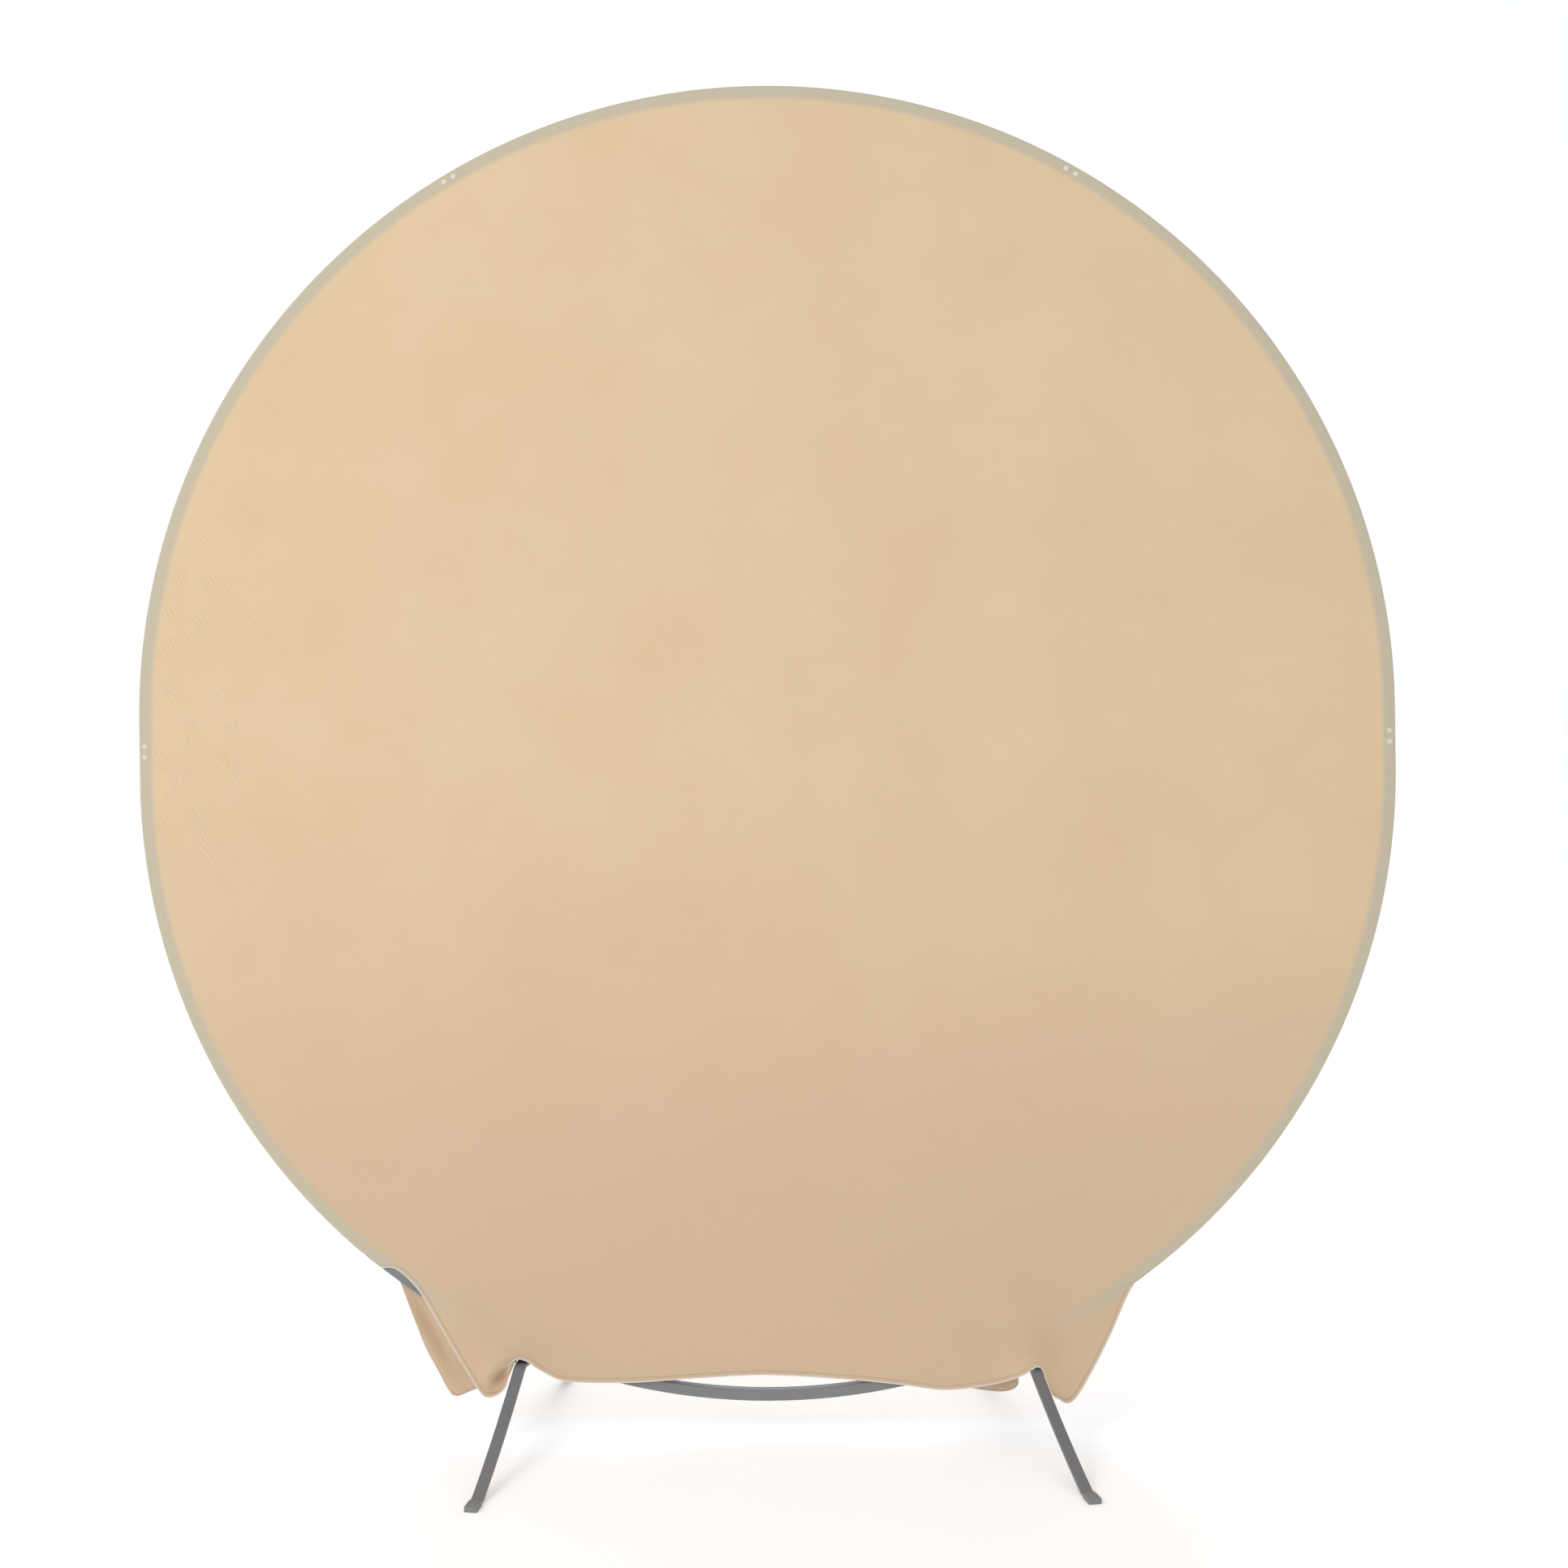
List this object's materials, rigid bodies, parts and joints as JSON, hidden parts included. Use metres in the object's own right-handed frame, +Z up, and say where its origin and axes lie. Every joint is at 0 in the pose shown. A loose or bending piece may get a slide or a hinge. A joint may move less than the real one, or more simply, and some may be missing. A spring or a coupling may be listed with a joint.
{
  "type": "round backdrop stand",
  "caption": "Round free-standing backdrop stand: a jointed square-tube ring on bent flat-bar feet, inside a stretch-knit cover that is open at the bottom.",
  "frame": {"origin": "on the floor under the middle of the ring", "axes": "+X across the ring to the right, -Y to the front, +Z up"},
  "size_m": [2.2076, 0.6772, 2.3688],
  "materials": {
    "painted_steel": "grey powder coat, satin",
    "joiner_steel": "bare drawn steel tube",
    "plated_steel": "zinc plated",
    "cap_vinyl": "grey soft vinyl",
    "saddle_nylon": "moulded nylon",
    "stretch_knit": "sand-coloured polyester and elastane jersey, faint sheen",
    "hem_thread": "overlocked edge in pale thread"
  },
  "bodies": {
    "stand": {"ring_segment_top": "painted_steel", "ring_segment_upper_left": "painted_steel", "ring_segment_upper_right": "painted_steel", "ring_segment_lower_left": "painted_steel", "ring_segment_lower_right": "painted_steel", "ring_segment_bottom": "painted_steel", "ring_joiner_left": "joiner_steel", "ring_joiner_right": "joiner_steel", "ring_joiner_upper_left": "joiner_steel", "ring_joiner_upper_right": "joiner_steel", "ring_joiner_lower_left": "joiner_steel", "ring_joiner_lower_right": "joiner_steel", "joint_screws_left": "plated_steel", "joint_screws_right": "plated_steel", "joint_screws_upper_left": "plated_steel", "joint_screws_upper_right": "plated_steel", "joint_screws_lower_left": "plated_steel", "joint_screws_lower_right": "plated_steel", "cover_front_panel": "stretch_knit", "cover_back_panel": "stretch_knit", "cover_rim_band": "stretch_knit", "cover_rim_seam": "hem_thread", "cover_front_hem": "hem_thread", "cover_back_hem": "hem_thread", "foot_saddle_left": "saddle_nylon", "saddle_screws_left": "plated_steel", "saddle_nut_left": "plated_steel", "foot_bolt_left": "plated_steel", "foot_washer_left": "plated_steel", "foot_saddle_right": "saddle_nylon", "saddle_screws_right": "plated_steel", "saddle_nut_right": "plated_steel", "foot_bolt_right": "plated_steel", "foot_washer_right": "plated_steel"},
    "foot_left": {"foot_bar_left": "painted_steel", "toe_cap_left_front": "cap_vinyl", "toe_cap_left_rear": "cap_vinyl"},
    "foot_right": {"foot_bar_right": "painted_steel", "toe_cap_right_front": "cap_vinyl", "toe_cap_right_rear": "cap_vinyl"}
  },
  "joints": [
    {"name": "foot_swivel_left", "type": "hinge", "parent": "stand", "child": "foot_left", "pos_m": [-0.439, 0, 0.138], "axis": [0, 0, -1], "range_deg": [-8, 8]},
    {"name": "foot_swivel_right", "type": "hinge", "parent": "stand", "child": "foot_right", "pos_m": [0.439, 0, 0.138], "axis": [0, 0, 1], "range_deg": [-8, 8]}
  ]
}
